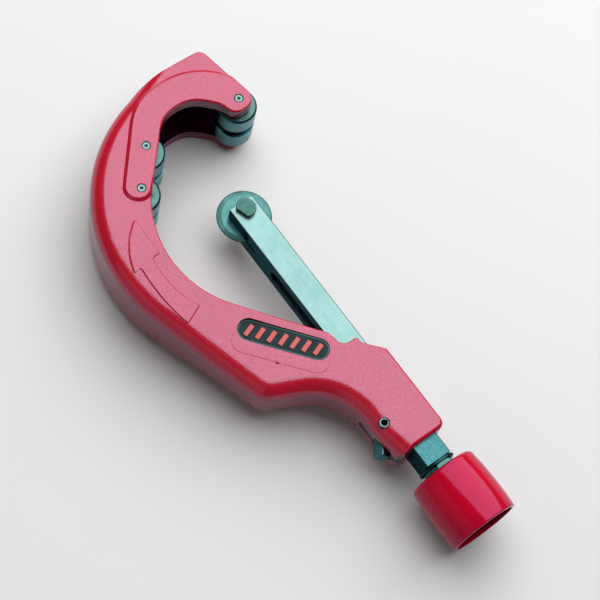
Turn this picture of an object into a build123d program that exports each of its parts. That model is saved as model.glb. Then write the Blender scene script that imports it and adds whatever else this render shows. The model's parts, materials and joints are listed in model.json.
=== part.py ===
from build123d import *
import math
import os

# Quick-acting C-frame pipe cutter for tube of about 36 to 76 mm. Millimetres.
#
# The shapes are drawn in the tool's own frame: the slide runs along X (+X towards the handle),
# Y points out of the open mouth, Z is the thickness with 0 in the cutting plane, and the origin
# is the cutter wheel's centre. At export everything is shifted so that the finished part stands
# on Z = 0 with its origin under the middle of its bounding box.

# ---------------------------------------------------------------- frame casting
HEAD_HALF = 21.2          # half thickness of the C head
GRIP_HALF = 14.5          # half thickness of the belly and grip
TAPER_START = -10.0       # the thickness falls between these two places on X
TAPER_END = 60.0
TAPER_BLEND = 300.0       # radius that blends the taper into the flats
PAD_HALF = 22.65          # half thickness over the roller pads
PAD_TAPER = 50.0          # slope of a pad's step, degrees
BOW_CENTRE = (-1.0, 4.0)  # centre of the C's round back
BOW_RADIUS = 80.0
THROAT_RADIUS = 53.7      # inside of the C
LEFT_WALL = BOW_CENTRE[0] - BOW_RADIUS
END_FACE = 146.0          # where the slide leaves the grip
GRIP_TOP = 12.4
GRIP_BOTTOM = -17.8
BIG_ROUND = 9.0           # cast rounding of the outer edge of the C, belly and grip
SMALL_ROUND = 1.2         # cast rounding of the other edges
ARM_ROUND = 6.4           # round end of the arm over roller C
ARM_TIP = -40.3
BACK_LEAN = 1.0           # the wall behind the arm leans in by this much
RUN_OUT_ANGLE = 17.5      # how far below the back's level the big rounding starts to run out, degrees
RUN_OUT_BEND = (-87.6, 9.0)
RUN_OUT_END = (-89.5, 60.0)
END_ROUND = 2.2           # cast rounding of the grip's top edge and of its end
LUG_ROUND = 4.0           # lower rear corner of the grip, seen from the side
ARROW_HEIGHT = 0.6
ARROW_SLOPE = 0.5         # width of its sloping edge
ARROW_CORNER = 0.8
FIELD_HEIGHT = 0.2        # barely raised field round the badge
FIELD_MARGIN = 7.0
FIELD_DEPTH = 12.3        # from the badge's axis to the field's lower edge
PIMPLE = (74.5, -36.5)    # ejector mark

# ---------------------------------------------------------------- rollers
ROLLER_RADIUS = 10.0
ROLLER_HALF = 14.8
ROLLER_GROOVE = 6.0
ROLLER_GROOVE_DEPTH = 1.8
POCKET_HALF = 15.1        # half width of the channel between the cheeks
PIN_RADIUS = 2.4
RUNNING = 0.05            # radial clearance of a running fit
PIN_A = (-51.3, -24.9)
PIN_B = (-34.1, -39.9)
PIN_C = (-46.7, 28.5)
PIN_HALF = 22.4

# ---------------------------------------------------------------- slide and wheel
BAR_HALF_Y = 7.1
BAR_HALF_Z = 9.6
BAR_FRONT = -4.0
BAR_REAR = 157.0
SLIDE_GAP = 0.25          # between the slide and the channel that guides it
WHEEL_RADIUS = 14.0
WHEEL_THICK = 1.8
WHEEL_SLOT = 2.4
WHEEL_SLOT_END = 19.0
AXLE_RADIUS = 3.0
AXLE_HEAD_RADIUS = 5.0
AXLE_HEAD_HEIGHT = 3.0
AXLE_FLAT = 3.4           # from the head's centre to its flat
AXLE_FLAT_ANGLE = 19.0    # direction of the flat, degrees from X
BORE_RADIUS = 6.1         # bore of the slide, for the spindle
BORE_FRONT = 31.0
WINDOW_HALF = 4.4         # long window under the slide, where the pawl meets the thread
WINDOW_FRONT = 32.0
WINDOW_REAR = 140.0

# ---------------------------------------------------------------- spindle and handle
PITCH = 1.5
THREAD_RADIUS = 5.0
THREAD_DEPTH = 0.92
THREAD_FRONT = 60.0
THREAD_REAR = 141.0
SPINDLE_FRONT = 34.0
SPINDLE_REAR = 184.0
BUSH_LENGTH = 12.0
CLIP_THICK = 1.5
WASHER_RADIUS = 10.0
WASHER_THICK = 1.4
AXIAL_GAP = 0.25
HEX_FLATS = 16.0
HEX_DEPTH = 6.0
HEX_TURN = 20.0           # how far the collar and handle stand turned, degrees
HANDLE_FRONT = 161.6
HANDLE_REAR = 196.0
HANDLE_WEB = 172.0        # the handle is solid up to here and hollow after it
HANDLE_RADIUS_FRONT = 17.5
HANDLE_RADIUS_MIDDLE = 18.7
HANDLE_RADIUS_REAR = 18.2
HANDLE_HOLLOW_RADIUS = 16.6
HANDLE_ROUND_FRONT = 2.2
HANDLE_ROUND_REAR = 0.7

# ---------------------------------------------------------------- release lever
PIVOT = (128.3, -12.1)
LEVER_HALF = 2.0
LEVER_SLOT_HALF = 2.3
LEVER_PIN_RADIUS = 2.75
LEVER_PIN_BORE = 1.7
LEVER_PIN_HALF = 14.2
STUD_BASE = (133.0, -14.8)
STUD_AXIS = (0.8, -0.6)
STUD_LENGTH = 8.3
STUD_FLATS = 7.6
STUD_TENON = 1.6
STUD_TENON_RADIUS = 1.2
RELIEF_RADIUS = 5.8
SPRING_WIRE = 0.7
SPRING_MEAN = 3.3
SPRING_TAIL = 0.4         # radius of the tail that hooks into the lever
SPRING_TURNS = 3
SPRING_POCKET = 4.0

# ---------------------------------------------------------------- badge
BADGE_LEFT = (53.3, -38.0)
BADGE_RIGHT = (80.3, -16.0)
BADGE_RADIUS = 5.8
BADGE_DEPTH = 1.2
BADGE_BARS = 7

# ---------------------------------------------------------------- placing
ROW_SHIFT = (
    -(LEFT_WALL + HANDLE_REAR) / 2,
    -(BOW_CENTRE[1] - BOW_RADIUS + PIN_C[1] + ROLLER_RADIUS) / 2,
    PAD_HALF,
)

UPPER_SLOPE = math.radians(38.3)     # the straight edge from the throat up to the mouth
BELLY_SLOPE = math.radians(17.5)     # the straight underside from the C to the belly corner


def closed_face(corners):
    """A flat face from (x, y, corner radius) triples."""
    points = [(x, y) for x, y, _ in corners]
    radii = [radius for _, _, radius in corners]
    return make_face(FilletPolyline(*points, radius=radii, close=True))


def both_ways(face, half):
    return extrude(face, amount=half, both=True)


def between(face, low, high):
    return extrude(Pos(0, 0, low) * face, amount=high - low, dir=(0, 0, 1))


def rod(centre, radius, low, high):
    """A round bar along Z."""
    return Pos(centre[0], centre[1], (low + high) / 2) * Cylinder(radius, high - low)


def rod_x(radius, start, end):
    """A round bar along X on the slide's axis."""
    return Pos((start + end) / 2, 0, 0) * Rot(0, 90, 0) * Cylinder(radius, end - start)


def hex_x(flats, start, end):
    """A hexagonal bar along X on the slide's axis."""
    profile = RegularPolygon(flats / 2, 6, major_radius=False)
    return Pos(start, 0, 0) * Rot(HEX_TURN, 0, 0) * Rot(0, 90, 0) * extrude(profile, amount=end - start)


def turned(points):
    """A solid of revolution about the slide's axis from (x, radius) points."""
    profile = make_face(Polyline(*points, close=True))
    return revolve(profile, Axis.X)


def belly_height(x):
    """Height of the straight underside of the casting."""
    tangent_x = BOW_CENTRE[0] + BOW_RADIUS * math.sin(BELLY_SLOPE)
    tangent_y = BOW_CENTRE[1] - BOW_RADIUS * math.cos(BELLY_SLOPE)
    return tangent_y + math.tan(BELLY_SLOPE) * (x - tangent_x)


def underside():
    """The belly and grip from the C's back to the thumb, shared by both outlines."""
    return [
        (85.6, belly_height(85.6), 12.0),             # belly corner
        (101.8, GRIP_BOTTOM, 31.0),                   # finger grip
        (133.0, GRIP_BOTTOM, 30.0),
    ]


def casting_outline():
    """Side view of the casting, anticlockwise from the tip of the arm over roller C."""
    mouth_x, mouth_y = 76.2, -6.5
    inner_wall = -60.3
    roller_line = -19.0 - 0.927 * (inner_wall + 49.0)
    throat_x = 1.3
    throat_y = mouth_y - math.tan(UPPER_SLOPE) * (mouth_x - throat_x)
    return closed_face([
        (ARM_TIP, 36.5, ARM_ROUND),                   # arm end, outside
        (LEFT_WALL + BACK_LEAN, 29.2, 5.0),           # top corner of the C
        (LEFT_WALL, BOW_CENTRE[1] + 3.0, 60.0),
        (LEFT_WALL, belly_height(LEFT_WALL), BOW_RADIUS),
        *underside(),
        (END_FACE, -15.2, LUG_ROUND),
        (END_FACE, GRIP_TOP, 4.0),
        (99.2, GRIP_TOP, 4.0),
        (89.5, 3.8, 3.0),                             # small step beside the mouth
        (85.7, 3.6, 1.5),
        (85.7, -4.6, 4.5),                            # scallop
        (mouth_x, mouth_y, 3.0),
        (throat_x, throat_y, THROAT_RADIUS),
        (inner_wall, roller_line, 17.0),
        (inner_wall, 8.2, 17.0),
        (-49.5, 18.9, 10.0),
        (ARM_TIP, 21.9, 6.0),                         # arm end, inside
    ])


def rounding_outline():
    """Outline that carries the big rounding. It leaves the C's back on the way up to the arm,
    so that the rounding runs out there, and stands well clear of the casting everywhere else."""
    angle = math.radians(RUN_OUT_ANGLE)
    leave_x = BOW_CENTRE[0] - BOW_RADIUS * math.cos(angle)
    leave_y = BOW_CENTRE[1] - BOW_RADIUS * math.sin(angle)
    rise = math.tan(math.pi / 2 - angle)
    belly_rise = math.tan(BELLY_SLOPE)
    meet_x = (leave_y - belly_height(0) + rise * leave_x) / (belly_rise + rise)
    return closed_face([
        (*RUN_OUT_END, 0.0),
        (*RUN_OUT_BEND, 30.0),
        (leave_x - 5 * math.sin(angle), leave_y + 5 * math.cos(angle), 30.0),
        (meet_x, belly_height(meet_x), BOW_RADIUS),
        *underside(),
        (END_FACE + 13.0, -12.6, 0.0),
        (END_FACE + 13.0, 60.0, 0.0),
    ])


def thickness_wedge(extra=0.0):
    """Everything within the casting's local half thickness, plus a little."""
    head = HEAD_HALF + extra
    grip = GRIP_HALF + extra
    upper = [(-120, head), (TAPER_START, head), (TAPER_END, grip), (180, grip)]
    lower = [(x, -z) for x, z in reversed(upper)]
    radii = [0, TAPER_BLEND, TAPER_BLEND, 0]
    edge = FilletPolyline(*upper, *lower, radius=radii + radii, close=True)
    return extrude(Plane.XZ * make_face(edge), amount=120, both=True)


def rim_edges(solid, outline):
    """Edges where a flat side meets the outline, on both sides."""
    rim = outline.face().outer_wire()
    found = []
    for edge in solid.edges():
        middle = edge @ 0.5
        upright = abs((edge @ 0).Z - (edge @ 1).Z) > 3
        on_end_face = middle.X > END_FACE - 0.1
        if upright or on_end_face or abs(middle.Z) < GRIP_HALF - 0.1:
            continue
        if rim.distance_to(Vector(middle.X, middle.Y, 0)) < 0.05:
            found.append(edge)
    return found


def is_underside(edge):
    """True on the part of the rounding outline that carries the rounding."""
    middle = edge @ 0.5
    return middle.Y < 50 and middle.X < END_FACE + 12.9


def pad_face():
    """Outline of the raised roller pad at the foot of its step."""
    ax, ay = PIN_A
    bx, by = PIN_B
    length = math.hypot(bx - ax, by - ay)
    along = ((bx - ax) / length, (by - ay) / length)
    outer_line = -76.1
    top_line = 38.1

    def from_b(ahead, across):
        x = bx + ahead * along[0] - across * along[1]
        y = by + ahead * along[1] + across * along[0]
        return x, y

    slope = along[1] / along[0]
    low_x, low_y = from_b(0, -9.4)
    corner_y = low_y + slope * (outer_line - low_x)
    return closed_face([
        (*from_b(7.0, -9.4), 7.4),
        (*from_b(7.0, 5.3), 7.2),
        (*from_b(-25.0, 7.6), 0.0),
        (-10.0, 0.0, 0.0),
        (-10.0, top_line, 0.0),
        (outer_line, top_line, 35.1),
        (outer_line, corner_y, 30.0),
    ])


def pocket_face():
    """Side view of the roller channel between the cheeks."""
    clear = ROLLER_RADIUS + 1.6
    bx, by = PIN_B
    back_wall = -72.0
    return closed_face([
        (-20.0, by + 8.0, 0.0),
        (-20.0, 60.0, 0.0),
        (-56.5, 60.0, 0.0),
        (-56.5, 37.0, 2.0),
        (back_wall, 13.0, 20.0),
        (back_wall, -16.0, 24.0),
        (bx - clear, by - clear, clear - 0.5),
        (bx + clear, by - clear, clear - 0.5),
        (bx + clear, by + 8.0, 0.0),
    ])


def polar(radius, degrees):
    """A point at a radius about the throat's centre."""
    angle = math.radians(degrees)
    return 4.1 + radius * math.cos(angle), 5.0 + radius * math.sin(angle)


def make_pad():
    """Raised roller pad on the front cheek, with its inner edge rounded like the casting's."""
    step = PAD_HALF - HEAD_HALF
    foot = pad_face()
    pad = extrude(Pos(0, 0, HEAD_HALF) * foot, amount=step, taper=PAD_TAPER)
    pad = pad + between(foot, POCKET_HALF, HEAD_HALF)
    block = both_ways(casting_outline(), PAD_HALF)
    return pad & fillet(block.faces().sort_by(Axis.Z)[-1].edges(), SMALL_ROUND)


def arrow_face():
    """Cutting direction arrow, bent round the C."""
    outer_shaft = ThreePointArc(polar(72.8, -65.0), polar(70.4, -80.0), polar(69.4, -94.0))
    inner_shaft = ThreePointArc(polar(61.4, -95.3), polar(62.2, -80.0), polar(61.8, -64.7))
    outer_head = ThreePointArc(polar(73.5, -93.1), polar(70.0, -104.0), polar(63.1, -115.6))
    barb_out = Line(polar(69.4, -94.0), polar(73.5, -93.1))
    head_top = Line(polar(63.1, -115.6), polar(57.1, -95.8))
    barb_in = Line(polar(57.1, -95.8), polar(61.4, -95.3))
    tail = Line(polar(61.8, -64.7), polar(72.8, -65.0))
    edges = [outer_shaft, barb_out, outer_head, head_top, barb_in, inner_shaft, tail]
    outline = make_face(edges)
    return fillet(outline.vertices(), ARROW_CORNER)


def make_arrow():
    """Raised arrow with sloping edges."""
    outline = arrow_face()
    block = between(outline, 5, 40) & thickness_wedge(ARROW_HEIGHT)
    return chamfer(rim_edges(block, outline), ARROW_SLOPE)


def badge_length():
    return math.dist(BADGE_LEFT, BADGE_RIGHT)


def badge_placing():
    """Frame at the badge's middle with X along it."""
    middle_x = (BADGE_LEFT[0] + BADGE_RIGHT[0]) / 2
    middle_y = (BADGE_LEFT[1] + BADGE_RIGHT[1]) / 2
    turn = math.atan2(BADGE_RIGHT[1] - BADGE_LEFT[1], BADGE_RIGHT[0] - BADGE_LEFT[0])
    return Pos(middle_x, middle_y) * Rot(0, 0, math.degrees(turn))


def badge_face(radius):
    """Stadium between the badge's two end centres."""
    return badge_placing() * SlotCenterToCenter(badge_length(), 2 * radius)


def make_field():
    """Barely raised field that shows below the badge, with an ejector mark on the flat."""
    top = 3.0
    width = badge_length() + 2 * FIELD_MARGIN
    shape = RectangleRounded(width, FIELD_DEPTH + top, 6.0)
    outline = badge_placing() * Pos(0, (top - FIELD_DEPTH) / 2) * shape
    field = between(outline, 5, 40) & thickness_wedge(FIELD_HEIGHT)
    field = fillet(rim_edges(field, outline), 0.8 * FIELD_HEIGHT)
    mark = Pos(PIMPLE[0], PIMPLE[1], GRIP_HALF - 0.4) * Sphere(1.0)
    return field + mark


def lever_slot_face():
    """Room for the release lever and its swing."""
    return closed_face([
        (119.1, -30.0, 0.0),
        (119.1, -16.4, 0.0),
        (113.2, -14.4, 0.0),
        (113.2, 0.0, 0.0),
        (150.0, 0.0, 0.0),
        (150.0, -30.0, 0.0),
    ])


def stud_placing():
    """Frame at the foot of the release stud with Z along its axis."""
    return Plane(
        origin=(STUD_BASE[0], STUD_BASE[1], 0),
        x_dir=(0, 0, 1),
        z_dir=(STUD_AXIS[0], STUD_AXIS[1], 0),
    )


def rounded_body():
    """The casting's solid shape with its cast roundings."""
    outline = casting_outline()
    body = both_ways(outline, HEAD_HALF) & thickness_wedge()
    body = fillet(rim_edges(body, outline), SMALL_ROUND)
    outline = rounding_outline()
    envelope = both_ways(outline, HEAD_HALF) & thickness_wedge()
    edges = [e for e in rim_edges(envelope, outline) if is_underside(e)]
    return (body & fillet(edges, BIG_ROUND)) - end_trim()


def end_trim():
    """What the rounding of the grip's top and end takes away."""
    start = 90.0
    outline = closed_face([
        (start, -60.0, 0.0),
        (END_FACE, -60.0, 0.0),
        (END_FACE, GRIP_TOP, 4.0),
        (start, GRIP_TOP, 0.0),
    ])
    grip = both_ways(outline, GRIP_HALF)
    rim = [e for e in rim_edges(grip, outline) if (e @ 0.5).X > start + 0.1 and (e @ 0.5).Y > -59]
    grip = fillet(rim, END_ROUND)
    return Pos(start + 40, 0, 0) * Box(80, 70, 60) - grip


def make_casting():
    pad = make_pad()
    body = rounded_body() + pad + mirror(pad, Plane.XY)
    body = body + make_arrow() + make_field()
    body = body - both_ways(pocket_face(), POCKET_HALF)
    channel_y = 2 * (BAR_HALF_Y + SLIDE_GAP)
    channel_z = 2 * (BAR_HALF_Z + SLIDE_GAP)
    body = body - Pos(110, 0, 0) * Box(100, channel_y, channel_z)
    body = body - both_ways(lever_slot_face(), LEVER_SLOT_HALF)
    body = body - stud_placing() * Pos(0, 0, 9.4) * Cylinder(RELIEF_RADIUS, 20)
    for pin in (PIN_A, PIN_B, PIN_C):
        body = body - rod(pin, PIN_RADIUS, -PAD_HALF - 5, PAD_HALF + 5)
    body = body - rod(PIVOT, LEVER_PIN_RADIUS, -30, 30)
    body = body - rod(PIVOT, SPRING_POCKET, 0, LEVER_SLOT_HALF + 3.6)
    badge_floor = GRIP_HALF - BADGE_DEPTH
    body = body - between(badge_face(BADGE_RADIUS), badge_floor, 30)
    return body


def make_roller(centre):
    """Grooved guide roller with raised hub faces."""
    half = ROLLER_HALF
    rim = half - 0.45
    groove = ROLLER_GROOVE / 2
    floor = ROLLER_RADIUS - ROLLER_GROOVE_DEPTH
    bore = PIN_RADIUS + RUNNING
    upper = [
        (bore, half), (5.2, half), (5.6, rim), (ROLLER_RADIUS - 0.9, rim),
        (ROLLER_RADIUS, rim - 0.9), (ROLLER_RADIUS, groove + 0.5), (floor, groove),
    ]
    lower = [(r, -z) for r, z in reversed(upper)]
    profile = make_face(Polyline(*upper, *lower, close=True))
    return Pos(centre[0], centre[1], 0) * revolve(Plane.XZ * profile, Axis.Z)


def make_roller_pin(centre):
    """Hardened pin with chamfered ends and centre dimples."""
    pin = chamfer(Cylinder(PIN_RADIUS, 2 * PIN_HALF).edges(), 0.35)
    for side in (1, -1):
        dimple = Pos(0, 0, side * (PIN_HALF - 0.3)) * Cone(0.2, 0.9, 0.6)
        if side < 0:
            dimple = mirror(Pos(0, 0, PIN_HALF - 0.3) * Cone(0.2, 0.9, 0.6), Plane.XY)
        pin = pin - dimple
    return Pos(centre[0], centre[1], 0) * pin


def make_slide_bar():
    length = BAR_REAR - BAR_FRONT
    block = Box(length, 2 * BAR_HALF_Y, 2 * BAR_HALF_Z)
    block = chamfer(block.edges().filter_by(Axis.X), 0.5)
    bar = Pos((BAR_FRONT + BAR_REAR) / 2, 0, 0) * block
    slot_length = WHEEL_SLOT_END - BAR_FRONT + 10
    bar = bar - Pos(WHEEL_SLOT_END - slot_length / 2, 0, 0) * Box(slot_length, 30, WHEEL_SLOT)
    bar = bar - rod((0, 0), AXLE_RADIUS, -20, 20)
    bar = bar - rod_x(BORE_RADIUS, BORE_FRONT, BAR_REAR + 5)
    window = SlotOverall(WINDOW_REAR - WINDOW_FRONT, 2 * WINDOW_HALF)
    middle = (WINDOW_FRONT + WINDOW_REAR) / 2
    cut = extrude(Plane.XZ * window, amount=20)
    return bar - Pos(middle, 0, 0) * cut


def make_cutter_wheel():
    """Thin hardened disc with a bevelled cutting edge."""
    half = WHEEL_THICK / 2
    bore = AXLE_RADIUS + RUNNING
    upper = [(bore, half), (WHEEL_RADIUS - 2.6, half), (WHEEL_RADIUS, 0.08)]
    lower = [(r, -z) for r, z in reversed(upper)]
    return revolve(Plane.XZ * make_face(Polyline(*upper, *lower, close=True)), Axis.Z)


def make_axle_bolt():
    """Axle with a low round head that has one flat."""
    top = BAR_HALF_Z + AXLE_HEAD_HEIGHT
    head = rod((0, 0), AXLE_HEAD_RADIUS, BAR_HALF_Z, top)
    head = chamfer(head.edges().group_by(Axis.Z)[-1], 0.4)
    beyond_flat = Pos(0, -AXLE_FLAT - 2.5, top - AXLE_HEAD_HEIGHT / 2)
    cutter = beyond_flat * Box(20, 5.0, AXLE_HEAD_HEIGHT + 0.2)
    head = head - Rot(0, 0, AXLE_FLAT_ANGLE) * cutter
    shank = rod((0, 0), AXLE_RADIUS, -BAR_HALF_Z - 7.4, BAR_HALF_Z)
    return head + shank


def make_axle_washer():
    """Split spring washer under the axle nut."""
    top = -BAR_HALF_Z
    ring = rod((0, 0), 5.0, top - 1.4, top) - rod((0, 0), AXLE_RADIUS, top - 2, top + 1)
    gap = Pos(0, 4.2, top - 0.7) * Rot(0, 20, 0) * Box(0.8, 4.2, 4)
    return ring - gap


def make_axle_nut():
    top = -BAR_HALF_Z - 1.4
    nut = Pos(0, 0, top - 5.0) * extrude(RegularPolygon(5.0, 6, major_radius=False), amount=5.0)
    rounding = rod((0, 0), 5.55, top - 5.0, top)
    rounding = chamfer(rounding.edges(), 0.5)
    return (nut & rounding) - rod((0, 0), AXLE_RADIUS, top - 6, top + 1)


def make_spindle():
    """Feed spindle: plain nose, ringed thread, journal and threaded tail."""
    root = THREAD_RADIUS - THREAD_DEPTH
    journal = BAR_REAR - BUSH_LENGTH
    points = [(SPINDLE_FRONT, 0), (SPINDLE_FRONT, root - 0.8), (SPINDLE_FRONT + 0.8, root)]
    count = int((THREAD_REAR - THREAD_FRONT) / PITCH)
    for index in range(count):
        start = THREAD_FRONT + index * PITCH
        points.append((start, root))
        points.append((start + PITCH / 2 - 0.1, THREAD_RADIUS))
        points.append((start + PITCH / 2 + 0.1, THREAD_RADIUS))
    points.append((THREAD_FRONT + count * PITCH, root))
    points.append((journal - CLIP_THICK - 0.1, root))
    points.append((journal - 0.1, root))
    points.append((journal - 0.1, THREAD_RADIUS))
    points.append((SPINDLE_REAR - 0.8, THREAD_RADIUS))
    points.append((SPINDLE_REAR, THREAD_RADIUS - 0.8))
    points.append((SPINDLE_REAR, 0))
    return turned(points)


def make_spindle_clip():
    """Retaining ring in front of the bush."""
    end = BAR_REAR - BUSH_LENGTH - 0.25
    ring = rod_x(5.8, end - CLIP_THICK, end) - rod_x(THREAD_RADIUS - THREAD_DEPTH, 130, 160)
    return ring - Pos(end, 5.0, 0) * Box(6, 4.0, 2.2)


def make_spindle_bush():
    """Bronze bearing bush in the rear end of the slide."""
    start = BAR_REAR - BUSH_LENGTH
    tube = rod_x(BORE_RADIUS, start, BAR_REAR)
    return tube - rod_x(THREAD_RADIUS + RUNNING, start - 1, BAR_REAR + 1)


def make_thrust_washer():
    start = BAR_REAR + AXIAL_GAP
    disc = chamfer(rod_x(WASHER_RADIUS, start, start + WASHER_THICK).edges(), 0.25)
    return disc - rod_x(THREAD_RADIUS, start - 1, start + 5)


def make_hex_collar():
    start = BAR_REAR + AXIAL_GAP + WASHER_THICK
    collar = hex_x(HEX_FLATS, start, start + HEX_DEPTH)
    rounding = chamfer(rod_x(HEX_FLATS / 2 * 1.12, start, start + HEX_DEPTH).edges(), 0.7)
    return (collar & rounding) - rod_x(THREAD_RADIUS, start - 1, start + 10)


def make_handle():
    """Barrel handle, open at its far end, driven by the hexagonal collar."""
    middle = 0.4 * HANDLE_FRONT + 0.6 * HANDLE_REAR
    front = (HANDLE_FRONT, HANDLE_RADIUS_FRONT)
    rear = (HANDLE_REAR, HANDLE_RADIUS_REAR)
    side = ThreePointArc(front, (middle, HANDLE_RADIUS_MIDDLE), rear)
    rest = Polyline(rear, (HANDLE_REAR, 0), (HANDLE_FRONT, 0), front)
    barrel = revolve(make_face([*side.edges(), *rest.edges()]), Axis.X)
    rims = barrel.edges().filter_by(GeomType.CIRCLE).sort_by(Axis.X)
    barrel = fillet(rims[0], HANDLE_ROUND_FRONT)
    rims = barrel.edges().filter_by(GeomType.CIRCLE).sort_by(Axis.X)
    barrel = fillet(rims[-1], HANDLE_ROUND_REAR)
    socket_end = BAR_REAR + AXIAL_GAP + WASHER_THICK + HEX_DEPTH
    barrel = barrel - hex_x(HEX_FLATS, HANDLE_FRONT - 1, socket_end)
    barrel = barrel - rod_x(THREAD_RADIUS, HANDLE_FRONT, HANDLE_REAR)
    hollow = rod_x(HANDLE_HOLLOW_RADIUS, HANDLE_WEB, HANDLE_REAR + 5)
    hollow = fillet(hollow.edges().group_by(Axis.X)[0], 2.0)
    return barrel - hollow


def make_handle_washer():
    disc = rod_x(WASHER_RADIUS, HANDLE_WEB, HANDLE_WEB + 1.5)
    return disc - rod_x(THREAD_RADIUS, HANDLE_WEB - 1, HANDLE_WEB + 3)


def make_handle_nut():
    start = HANDLE_WEB + 1.5
    nut = hex_x(HEX_FLATS, start, start + 8.0)
    rounding = chamfer(rod_x(HEX_FLATS / 2 * 1.12, start, start + 8.0).edges(), 0.7)
    return (nut & rounding) - rod_x(THREAD_RADIUS, start - 1, start + 10)


def lever_teeth():
    """Top of the pawl: teeth at the spindle's pitch, just clear of the thread."""
    tip = -THREAD_RADIUS - 0.3
    first = 115.2
    points = []
    for index in range(6):
        x = first + index * PITCH
        points.append((x, tip - 0.8))
        points.append((x + PITCH / 2, tip))
    points.append((first + 6 * PITCH, tip - 0.8))
    return points


def make_release_lever():
    """Flat lever in the grip's slot: toothed pawl ahead of the pivot, thumb arm behind it."""
    outline = [
        *[(x, y, 0.0) for x, y in lever_teeth()],
        (124.6, -8.0, 0.0),
        (131.5, -8.4, 0.0),
        (END_FACE - 0.4, -10.6, 0.5),
        (END_FACE + 0.1, -15.5, LUG_ROUND),           # thumb end, flush with the grip
        (133.0, -17.4, 0.0),
        (119.7, -17.4, 0.0),
        (119.7, -16.1, 0.0),
        (114.3, -11.8, 0.0),
        (114.3, -6.6, 0.0),
    ]
    plate = both_ways(closed_face(outline), LEVER_HALF)
    plate = plate - rod(PIVOT, LEVER_PIN_RADIUS + RUNNING, -5, 5)
    tail_hole = rod((PIVOT[0] + SPRING_MEAN, PIVOT[1]), SPRING_TAIL, 0, LEVER_HALF + 1)
    plate = plate - tail_hole
    relief = stud_placing() * Pos(0, 0, 10.0) * Cylinder(RELIEF_RADIUS, 20.0)
    return plate - relief - stud_tenon()


def stud_tenon():
    """The peg that rivets the stud into the lever."""
    return stud_placing() * Pos(0, 0, -STUD_TENON / 2) * Cylinder(STUD_TENON_RADIUS, STUD_TENON)


def make_release_stud():
    """Hexagonal thumb stud that stands on the lever."""
    profile = RegularPolygon(STUD_FLATS / 2, 6, major_radius=False)
    rounding = Pos(0, 0, STUD_LENGTH / 2) * Cylinder(STUD_FLATS / 2 * 1.13, STUD_LENGTH)
    rounding = chamfer(rounding.edges().group_by(Axis.Z)[-1], 0.8)
    stud = extrude(profile, amount=STUD_LENGTH) & rounding
    return stud_placing() * stud + stud_tenon()


def make_lever_pin():
    """Slotted spring pin, rolled from sheet, that the lever turns on."""
    tube = Cylinder(LEVER_PIN_RADIUS, 2 * LEVER_PIN_HALF)
    tube = chamfer(tube.edges(), 0.4)
    tube = tube - Cylinder(LEVER_PIN_BORE, 2 * LEVER_PIN_HALF + 2)
    tube = tube - Pos(0, 2.2, 0) * Box(0.7, 3.0, 2 * LEVER_PIN_HALF + 2)
    return Pos(PIVOT[0], PIVOT[1], 0) * tube


def make_lever_spring():
    """Torsion spring round the lever's pin, with one tail in the lever."""
    pitch = SPRING_WIRE + 0.1
    path = Helix(pitch, SPRING_TURNS * pitch, SPRING_MEAN)
    section = Plane(origin=path @ 0, z_dir=path % 0) * Circle(SPRING_WIRE / 2)
    coil = sweep(section, path=path, is_frenet=True)
    low = LEVER_SLOT_HALF + 0.4
    tail = Pos(SPRING_MEAN, 0, -0.5) * Cylinder(SPRING_TAIL, 1.4)
    return Pos(PIVOT[0], PIVOT[1], low) * (coil + tail)


def badge_bars():
    """Slanted raised bars that fill the badge."""
    step = badge_length() / (BADGE_BARS - 1)
    bars = []
    for index in range(BADGE_BARS):
        offset = (index - (BADGE_BARS - 1) / 2) * step
        bars.append(badge_placing() * Pos(offset, 0) * Rot(0, 0, -20) * Rectangle(2.2, 6.4))
    return bars


def make_badge_plate():
    """Dark plate with a raised rim, let into the grip."""
    floor = GRIP_HALF - BADGE_DEPTH
    plate = between(badge_face(BADGE_RADIUS - 0.15), floor, floor + 0.5)
    rim = badge_face(BADGE_RADIUS - 0.5) - badge_face(BADGE_RADIUS - 0.9)
    return plate + between(rim, floor + 0.5, floor + 0.75)


def make_badge_bars():
    floor = GRIP_HALF - BADGE_DEPTH + 0.5
    return Compound([between(bar, floor, floor + 0.5) for bar in badge_bars()])


def save(shape, name):
    export_step(Pos(*ROW_SHIFT) * shape, "parts/" + name + ".step")


def main():
    os.makedirs("parts", exist_ok=True)
    save(make_casting(), "frame_casting")
    for letter, centre in (("a", PIN_A), ("b", PIN_B), ("c", PIN_C)):
        save(make_roller(centre), "roller_" + letter)
        save(make_roller_pin(centre), "roller_pin_" + letter)
    save(make_slide_bar(), "slide_bar")
    save(make_cutter_wheel(), "cutter_wheel")
    save(make_axle_bolt(), "wheel_axle_bolt")
    save(make_axle_washer(), "axle_spring_washer")
    save(make_axle_nut(), "axle_nut")
    save(make_spindle(), "feed_spindle")
    save(make_spindle_clip(), "spindle_clip")
    save(make_spindle_bush(), "spindle_bush")
    save(make_thrust_washer(), "thrust_washer")
    save(make_hex_collar(), "hex_collar")
    save(make_handle(), "handle")
    save(make_handle_washer(), "handle_washer")
    save(make_handle_nut(), "handle_nut")
    save(make_release_lever(), "release_lever")
    save(make_release_stud(), "release_stud")
    save(make_lever_pin(), "lever_pin")
    save(make_lever_spring(), "lever_spring")
    save(make_badge_plate(), "badge_plate")
    save(make_badge_bars(), "badge_bars")


main()
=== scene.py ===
import json

import bpy
from mathutils import Matrix, Vector


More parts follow.
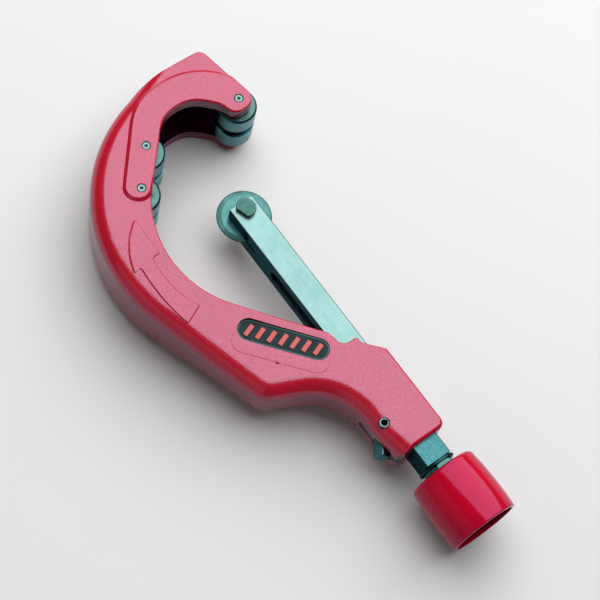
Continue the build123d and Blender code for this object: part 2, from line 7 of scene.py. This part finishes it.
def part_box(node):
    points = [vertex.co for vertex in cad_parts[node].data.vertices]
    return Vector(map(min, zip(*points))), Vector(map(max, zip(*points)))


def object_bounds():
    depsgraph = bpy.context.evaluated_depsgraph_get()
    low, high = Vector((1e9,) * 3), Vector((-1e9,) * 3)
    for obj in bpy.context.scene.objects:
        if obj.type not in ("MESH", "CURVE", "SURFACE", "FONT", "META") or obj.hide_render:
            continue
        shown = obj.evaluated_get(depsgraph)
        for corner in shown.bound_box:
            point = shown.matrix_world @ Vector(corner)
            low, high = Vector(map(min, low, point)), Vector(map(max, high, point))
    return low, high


# Looks of the quick-acting pipe cutter. Everything is in metres in the CAD model's frame:
# +X along the slide towards the handle, +Y out of the open mouth, +Z up from the floor.

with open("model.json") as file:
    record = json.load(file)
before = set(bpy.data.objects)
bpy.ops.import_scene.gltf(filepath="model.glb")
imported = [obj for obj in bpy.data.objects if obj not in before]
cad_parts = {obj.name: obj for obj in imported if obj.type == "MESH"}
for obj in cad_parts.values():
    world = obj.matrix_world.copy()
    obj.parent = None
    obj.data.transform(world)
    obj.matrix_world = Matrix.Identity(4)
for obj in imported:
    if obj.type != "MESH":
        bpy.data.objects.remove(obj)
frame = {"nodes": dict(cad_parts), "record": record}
cad_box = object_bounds()

# ---------------------------------------------------------------- colours (linear)
RED = (0.335, 0.0004, 0.014)
# a brighter red: a painted highlight on the casting's slopes and roundings, and the colour its
# paint drifts towards at random
RED_HIGHLIGHT_AND_DRIFT = (0.390, 0.0004, 0.013)
# pink painted sheen, speckled over the casting's upward flats
RED_SHEEN_SPECKLE = (0.440, 0.070, 0.095)
# painted shade on the casting's upright sides
RED_SIDE_SHADE = (0.145, 0.0004, 0.026)
# painted shade in the casting's pocket and down the handle's hollow
RED_RECESS_SHADE = (0.020, 0.0004, 0.012)
HANDLE_RED = (0.385, 0.0004, 0.013)
HANDLE_DEEP = (0.300, 0.0004, 0.018)
COOL_GLOSS = (0.62, 0.74, 1.0)
ROSE_GLOSS = (0.80, 0.45, 1.0)
EDGE_TINT = (0.50, 0.68, 0.76)
ZINC = (0.122, 0.205, 0.196)
ZINC_WORN = (0.088, 0.165, 0.162)
# near black: painted shade on the slide's sides and in the rollers' grooves, and the wheel's edge
NEAR_BLACK_TEAL = (0.004, 0.018, 0.028)
NECK = (0.020, 0.082, 0.098)
TEAL_PALE = (0.075, 0.235, 0.260)
TEAL_LIGHT = (0.050, 0.135, 0.130)
TEAL = (0.024, 0.066, 0.064)
ROLLER_FACE = (0.060, 0.122, 0.112)
TEAL_DARK = (0.006, 0.024, 0.026)
BOLT = (0.034, 0.086, 0.072)
BOLT_DARK = (0.014, 0.045, 0.040)
BRONZE = (0.42, 0.24, 0.10)
BLACK_GREEN = (0.003, 0.015, 0.016)
CORAL = (0.46, 0.095, 0.085)
FLOOR_DARK = (0.54, 0.54, 0.54)
FLOOR_LIGHT = (0.56, 0.56, 0.56)
SKY = (0.95, 0.97, 1.0)


# ---------------------------------------------------------------- places (metres)
def middle(node):
    """A node's centre in the tool's plane."""
    low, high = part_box(node)
    return ((low[0] + high[0]) / 2, (low[1] + high[1]) / 2)


MID_HEIGHT = (cad_box[0][2] + cad_box[1][2]) / 2
WHEEL_CENTRE = middle("cutter_wheel")
ROLLER_CENTRES = {letter: middle("roller_" + letter) for letter in "abc"}
SLIDE_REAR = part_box("slide_bar")[1][0]
DULL_REACH = (0.0445, 0.0145)      # the slide turns dull between these places before its rear end
HANDLE_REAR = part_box("handle")[1][0]
HANDLE_HOLLOW_RADIUS = 0.0166
HOLLOW_SHADE = 0.0040              # the handle's hollow is fully dark with painted shade from this far in
HOLLOW_FADE = 0.0035
THROAT_CENTRE = (WHEEL_CENTRE[0] + 0.0041, WHEEL_CENTRE[1] + 0.0050)
POCKET_RADIUS = 0.0765             # from the throat's centre to past the wall behind the rollers
POCKET_HALF = 0.0153               # a little over half the gap between the cheeks
POCKET_END = -0.0750               # X where the pocket's painted shade has faded to the paint's own colour
POCKET_FADE = 0.0100
GROOVE_HALF = 0.0032               # a little over half the width of a roller's groove
TURNED_RADIUS = 0.0150             # no turned piece is wider
PIN_REACH = 0.0030                 # a little over a roller pin's radius
BADGE_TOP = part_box("badge_plate")[1][2] - MID_HEIGHT
BADGE_RAISED = 0.0002              # within this of its top, the badge takes its rim's colour

# ---------------------------------------------------------------- camera and stage
CAMERA_PLACE = (0.23435, -0.30885, 1.04065)
CAMERA_RIGHT = (0.596, 0.795, 0.113)
CAMERA_UP = (-0.773, 0.529, 0.351)
CAMERA_BACK = (0.220, -0.296, 0.930)
CAMERA_LENS = 132.8
FLOOR_HALF = 3.0


# ---------------------------------------------------------------- material building blocks
class Shade:
    """A node material with a Principled surface and short ways to add to it."""

    def __init__(self, name, **settings):
        self.material = bpy.data.materials.new(name)
        self.material.use_nodes = True
        self.tree = self.material.node_tree
        self.surface = self.tree.nodes["Principled BSDF"]
        for socket, value in settings.items():
            self.surface.inputs[socket.replace("_", " ")].default_value = value
        space = self.add("ShaderNodeTexCoord")
        self.place = space.outputs["Object"]
        self.normal = space.outputs["Normal"]

    def add(self, kind, **options):
        node = self.tree.nodes.new(kind)
        for key, value in options.items():
            setattr(node, key, value)
        return node

    def link(self, source, target):
        self.tree.links.new(source, target)

    def noise(self, scale, detail=3.0, rough=0.5, stretch=(1, 1, 1)):
        """Noise in the object's own space; scale is in cycles per metre."""
        mapping = self.add("ShaderNodeMapping")
        mapping.inputs["Scale"].default_value = stretch
        self.link(self.place, mapping.inputs["Vector"])
        node = self.add("ShaderNodeTexNoise")
        node.inputs["Scale"].default_value = scale
        node.inputs["Detail"].default_value = detail
        node.inputs["Roughness"].default_value = rough
        self.link(mapping.outputs["Vector"], node.inputs["Vector"])
        return node.outputs["Fac"]

    def component(self, vector, axis):
        node = self.add("ShaderNodeSeparateXYZ")
        self.link(vector, node.inputs["Vector"])
        return node.outputs[axis]

    def away(self, value, level=0.0):
        """How far a value is from a level, either way."""
        shifted = self.add("ShaderNodeMath", operation="SUBTRACT")
        self.link(value, shifted.inputs[0])
        shifted.inputs[1].default_value = level
        size = self.add("ShaderNodeMath", operation="ABSOLUTE")
        self.link(shifted.outputs["Value"], size.inputs[0])
        return size.outputs["Value"]

    def height(self):
        """Height above or below the cutting plane."""
        return self.away(self.component(self.place, "Z"), MID_HEIGHT)

    def product(self, first, second):
        node = self.add("ShaderNodeMath", operation="MULTIPLY")
        self.link(first, node.inputs[0])
        self.link(second, node.inputs[1])
        return node.outputs["Value"]

    def distance(self, centre, axes):
        """Distance in metres from a centre, counting only the axes marked 1."""
        mapping = self.add("ShaderNodeMapping")
        mapping.inputs["Location"].default_value = tuple(-part for part in centre)
        mapping.inputs["Scale"].default_value = axes
        self.link(self.place, mapping.inputs["Vector"])
        node = self.add("ShaderNodeVectorMath", operation="LENGTH")
        self.link(mapping.outputs["Vector"], node.inputs["Vector"])
        return node.outputs["Value"]

    def radius(self, centre):
        """Distance in metres from an upright axis through a place in the tool's plane."""
        return self.distance((*centre, 0), (1, 1, 0))

    def spindle_radius(self):
        """Distance in metres from the spindle's axis."""
        return self.distance((0, WHEEL_CENTRE[1], MID_HEIGHT), (0, 1, 1))

    def rings(self, distance, scale):
        """Turning marks: noise that changes only with a distance."""
        node = self.add("ShaderNodeTexNoise", noise_dimensions="1D")
        node.inputs["Scale"].default_value = scale
        node.inputs["Detail"].default_value = 4.0
        self.link(distance, node.inputs["W"])
        return node.outputs["Fac"]

    def steps(self, value, stops, low=0.0, high=1.0):
        """Colours along a value: stops are (value, colour) pairs between low and high."""
        node = self.add("ShaderNodeValToRGB")
        marks = node.color_ramp.elements
        while len(marks) < len(stops):
            marks.new(0.5)
        for mark, (place, colour) in zip(marks, stops):
            mark.position = (place - low) / (high - low)
            mark.color = (*colour, 1)
        self.link(self.spread(value, 0.0, 1.0, low, high), node.inputs["Fac"])
        return node.outputs["Color"]

    def ramp(self, value, low, high, start=0.35, end=0.65):
        """Maps a 0 to 1 value between two colours."""
        return self.steps(value, [(start, low), (end, high)])

    def spread(self, value, low, high, start=0.3, end=0.7):
        """Maps a value between two numbers."""
        node = self.add("ShaderNodeMapRange")
        node.inputs["From Min"].default_value = start
        node.inputs["From Max"].default_value = end
        node.inputs["To Min"].default_value = low
        node.inputs["To Max"].default_value = high
        self.link(value, node.inputs["Value"])
        return node.outputs["Result"]

    def below(self, value, edge, fade):
        """1 where a value is under an edge, falling to 0 over a fade."""
        return self.spread(value, 1.0, 0.0, edge, edge + fade)

    def blend(self, amount, first, second):
        """Mixes two colours, each a socket or a colour, by a 0 to 1 value."""
        node = self.add("ShaderNodeMix", data_type="RGBA")
        self.link(amount, node.inputs["Factor"])
        for socket, colour in ((node.inputs[6], first), (node.inputs[7], second)):
            if isinstance(colour, tuple):
                socket.default_value = (*colour, 1)
            else:
                self.link(colour, socket)
        return node.outputs[2]

    def colour(self, source):
        self.link(source, self.surface.inputs["Base Color"])

    def roughness(self, source):
        self.link(source, self.surface.inputs["Roughness"])

    def bumps(self, *layers):
        """Adds bump layers, each (height, strength, depth in metres)."""
        normal = None
        for height, strength, depth in layers:
            node = self.add("ShaderNodeBump")
            node.inputs["Strength"].default_value = strength
            node.inputs["Distance"].default_value = depth
            self.link(height, node.inputs["Height"])
            if normal is not None:
                self.link(normal, node.inputs["Normal"])
            normal = node.outputs["Normal"]
        self.link(normal, self.surface.inputs["Normal"])


def casting_paint(name):
    """Gloss enamel over a casting: orange peel, a fine speckle of painted pink sheen on the flats,
    slow colour drift, painted shade in dark crimson on the upright sides with a painted
    highlight in brighter red on the slopes between, and painted shade in the pocket behind the
    rollers."""
    shade = Shade(name, Specular_Tint=(*COOL_GLOSS, 1), IOR=1.65)
    upward = shade.away(shade.component(shade.normal, "Z"))
    # painted light and shade by facing: dark crimson painted shade on the upright sides, a
    # brighter red painted highlight on the slopes and roundings
    lit_and_shaded_by_facing = shade.steps(upward, [(0.0, RED_SIDE_SHADE), (0.5, RED_HIGHLIGHT_AND_DRIFT), (1.0, RED)])
    drift = shade.spread(shade.noise(45, 4.0), 0.0, 0.35)
    drifted = shade.blend(drift, lit_and_shaded_by_facing, RED_HIGHLIGHT_AND_DRIFT)
    # painted sheen: a fine pink speckle on the upward flats only
    mottle = shade.spread(shade.noise(1300, 3.0, 0.7), 0.0, 1.0, 0.42, 0.72)
    flat = shade.spread(upward, 0.0, 0.8, 0.9, 1.0)
    painted = shade.blend(shade.product(mottle, flat), drifted, RED_SHEEN_SPECKLE)
    # painted shade: dark in the pocket behind the rollers, between the cheeks
    between = shade.below(shade.height(), POCKET_HALF, 0.0005)
    within = shade.below(shade.radius(THROAT_CENTRE), POCKET_RADIUS, 0.0015)
    along = shade.component(shade.place, "X")
    head = shade.below(along, POCKET_END - POCKET_FADE, POCKET_FADE)
    pocket = shade.product(shade.product(between, within), head)
    shade.colour(shade.blend(pocket, painted, RED_RECESS_SHADE))
    shade.roughness(shade.spread(shade.noise(420, 4.0), 0.09, 0.20))
    shade.bumps(
        (shade.noise(330, 2.0, 0.4), 0.6, 0.00006),
        (shade.noise(1300, 3.0, 0.6), 0.8, 0.00007),
    )
    return shade.material


def handle_paint(name):
    """Smooth gloss enamel on the turned handle, with painted shade down in its hollow."""
    shade = Shade(name, Specular_Tint=(*ROSE_GLOSS, 1), IOR=1.37)
    painted = shade.ramp(shade.noise(40, 4.0), HANDLE_DEEP, HANDLE_RED)
    # painted shade: dark inside the hollow, deeper than its lip
    within = shade.below(shade.spindle_radius(), HANDLE_HOLLOW_RADIUS + 0.0001, 0.0002)
    along = shade.component(shade.place, "X")
    deep_shade = shade.below(along, HANDLE_REAR - HOLLOW_SHADE, HOLLOW_FADE)
    shade.colour(shade.blend(shade.product(within, deep_shade), painted, RED_RECESS_SHADE))
    shade.roughness(shade.spread(shade.noise(150, 3.0), 0.09, 0.15))
    shade.bumps(
        (shade.noise(110, 2.0), 0.5, 0.00012),
        (shade.noise(700, 2.0), 0.4, 0.00002),
    )
    return shade.material


def moulded(name, colour, rim):
    """Flat plastic or ink with a fine grain, and another colour where it stands highest."""
    shade = Shade(name, IOR=1.25)
    faded = tuple(1.35 * part for part in colour)
    face = shade.ramp(shade.noise(500, 3.0), colour, faded)
    high = (BADGE_TOP - BADGE_RAISED, BADGE_TOP - BADGE_RAISED / 4)
    raised = shade.spread(shade.height(), 0.0, 1.0, *high)
    shade.colour(shade.blend(raised, face, rim))
    shade.roughness(shade.spread(shade.noise(300, 3.0), 0.5, 0.65))
    shade.bumps((shade.noise(1500, 2.0), 0.3, 0.00001))
    return shade.material


def metal(name, light, dark, rough, grain=(1, 1, 30), scale=420, depth=0.00002):
    """Metal with fine drawn or ground lines along the axis with the small stretch."""
    shade = Shade(name, Metallic=1.0, Specular_Tint=(*EDGE_TINT, 1))
    lines = shade.noise(scale, 5.0, 0.65, grain)
    shade.colour(shade.ramp(shade.noise(70, 6.0, 0.65), dark, light, 0.3, 0.7))
    shade.roughness(shade.spread(lines, rough * 0.75, rough * 1.4))
    shade.bumps((lines, 0.4, depth), (shade.noise(150, 3.0), 0.25, depth))
    return shade.material


def slide_metal(name):
    """Ground zinc on the upper and lower faces, duller towards the rear, and near-black painted
    shade on the sides."""
    shade = Shade(name, Metallic=1.0, Specular_Tint=(*EDGE_TINT, 1))
    upward = shade.away(shade.component(shade.normal, "Z"))
    lines = shade.noise(500, 5.0, 0.65, (0.03, 1, 1))
    patches = shade.ramp(shade.noise(110, 6.0, 0.7), ZINC_WORN, ZINC, 0.25, 0.6)
    grain = shade.ramp(shade.noise(1500, 3.0, 0.6), NECK, TEAL_LIGHT, 0.4, 0.7)
    before, after = (SLIDE_REAR - reach for reach in DULL_REACH)
    dull = shade.spread(shade.component(shade.place, "X"), 0.0, 1.0, before, after)
    face = shade.blend(dull, patches, grain)
    # painted shade: the upright sides near black
    side = shade.ramp(shade.noise(300, 4.0), NEAR_BLACK_TEAL, TEAL_DARK, 0.45, 0.9)
    shade.colour(shade.blend(shade.spread(upward, 0.0, 1.0, 0.3, 0.8), side, face))
    shade.roughness(shade.spread(lines, 0.2, 0.36))
    shade.bumps((lines, 0.35, 0.00002), (shade.noise(180, 3.0), 0.25, 0.00003))
    return shade.material


def turned_metal(name, centre, stops, rough, reach=TURNED_RADIUS, groove=0.0):
    """Metal turned about an upright axis, with colours that change with the radius up to a
    reach, and near-black painted shade in a groove of a given half width round its middle."""
    shade = Shade(name, Metallic=1.0)
    distance = shade.radius(centre)
    marks = shade.rings(distance, 2600)
    tone = shade.steps(distance, stops, 0.0, reach)
    grain = shade.spread(shade.noise(260, 4.0), 0.0, 0.4)
    metal_colour = shade.blend(grain, tone, TEAL_DARK)
    # painted shade: near black in the groove round the middle
    outside_groove_shade = shade.spread(shade.height(), 0.0, 1.0, groove - 0.0001, groove + 0.0004)
    shade.colour(shade.blend(outside_groove_shade, NEAR_BLACK_TEAL, metal_colour))
    shade.roughness(shade.spread(marks, rough * 0.7, rough * 1.4))
    shade.bumps((marks, 0.4, 0.00003), (shade.noise(400, 3.0), 0.2, 0.00002))
    return shade.material


# colours of the turned pieces by radius, in metres
ROLLER_STOPS = [
    (0.0, ROLLER_FACE),
    (0.0052, TEAL_LIGHT),
    (0.0060, ROLLER_FACE),
    (0.0088, ROLLER_FACE),
    (0.0093, TEAL_DARK),
    # painted reflection: the rollers' outer sides in pale teal
    (0.0099, TEAL_PALE),
]
PIN_STOPS = [(0.0, TEAL), (0.0004, ZINC), (0.0016, ZINC), (0.0021, TEAL_DARK), (0.0024, TEAL)]
WHEEL_STOPS = [(0.0, TEAL_LIGHT), (0.0135, TEAL_LIGHT), (0.0139, NEAR_BLACK_TEAL)]
BOLT_STOPS = [(0.0, TEAL_DARK), (0.0004, BOLT), (0.0042, BOLT), (0.0047, ZINC), (0.005, BOLT_DARK)]
materials = {
    "frame_paint": casting_paint("frame_paint"),
    "handle_paint": handle_paint("handle_paint"),
    "slide_zinc": slide_metal("slide_zinc"),
    "wheel_steel": turned_metal("wheel_steel", WHEEL_CENTRE, WHEEL_STOPS, 0.28),
    "bolt_zinc": turned_metal("bolt_zinc", WHEEL_CENTRE, BOLT_STOPS, 0.3),
    "pin_steel": metal("pin_steel", ZINC_WORN, TEAL, 0.30),
    "washer_steel": metal("washer_steel", TEAL, TEAL_DARK, 0.32),
    "spindle_steel": metal("spindle_steel", TEAL_LIGHT, TEAL, 0.24),
    "bush_bronze": metal("bush_bronze", BRONZE, BRONZE, 0.32),
    "collar_zinc": metal("collar_zinc", TEAL_LIGHT, TEAL, 0.28),
    "lever_steel": metal("lever_steel", TEAL_PALE, TEAL_LIGHT, 0.33),
    "badge_black": moulded("badge_black", BLACK_GREEN, TEAL_LIGHT),
    "badge_bar": moulded("badge_bar", CORAL, CORAL),
}
own_material = {}
for letter, centre in ROLLER_CENTRES.items():
    roller = "roller_" + letter
    pin = "roller_pin_" + letter
    own_material[roller] = turned_metal(roller, centre, ROLLER_STOPS, 0.3, groove=GROOVE_HALF)
    own_material[pin] = turned_metal(pin, centre, PIN_STOPS, 0.3, reach=PIN_REACH)

slot_of = {part["node"]: part["material_slot"] for part in frame["record"]["subparts"]}
for name, piece in frame["nodes"].items():
    for material_slot in piece.material_slots:
        material_slot.material = own_material.get(name) or materials[slot_of[name]]


# ---------------------------------------------------------------- stage, light and camera
def make_floor():
    mesh = bpy.data.meshes.new("floor")
    low, high = -FLOOR_HALF, FLOOR_HALF
    corners = [(low, low, 0), (high, low, 0), (high, high, 0), (low, high, 0)]
    mesh.from_pydata(corners, [], [(0, 1, 2, 3)])
    floor = bpy.data.objects.new("floor", mesh)
    bpy.context.collection.objects.link(floor)
    shade = Shade("floor_white", Roughness=0.9)
    shade.surface.inputs["Specular IOR Level"].default_value = 0.1
    shade.colour(shade.ramp(shade.noise(2.0), FLOOR_DARK, FLOOR_LIGHT))
    mesh.materials.append(shade.material)


def softbox(name, place, size, watts):
    """A square soft white light at a place, pointing at the middle of the floor."""
    light = bpy.data.lights.new(name, "AREA")
    light.size = size
    light.energy = watts
    lamp = bpy.data.objects.new(name, light)
    bpy.context.collection.objects.link(lamp)
    lamp.location = place
    lamp.rotation_euler = (-Vector(place)).to_track_quat("-Z", "Y").to_euler()


def make_world():
    """A faint even light from all round."""
    world = bpy.data.worlds.new("studio")
    world.use_nodes = True
    background = world.node_tree.nodes["Background"]
    background.inputs["Color"].default_value = (*SKY, 1)
    background.inputs["Strength"].default_value = 0.16
    bpy.context.scene.world = world


def make_camera():
    camera = bpy.data.objects.new("camera", bpy.data.cameras.new("camera"))
    bpy.context.collection.objects.link(camera)
    camera.data.sensor_width = 36.0
    camera.data.lens = CAMERA_LENS
    camera.data.clip_end = 20.0
    turn = Matrix((CAMERA_RIGHT, CAMERA_UP, CAMERA_BACK)).transposed().to_4x4()
    camera.matrix_world = Matrix.Translation(CAMERA_PLACE) @ turn
    bpy.context.scene.camera = camera


make_floor()
softbox("overhead", place=(-0.40, 0.60, 1.12), size=2.0, watts=48.5)
softbox("back_fill", place=(0.20, -1.60, 0.80), size=1.6, watts=2.5)
make_world()
bpy.context.scene.view_settings.view_transform = "Standard"
make_camera()
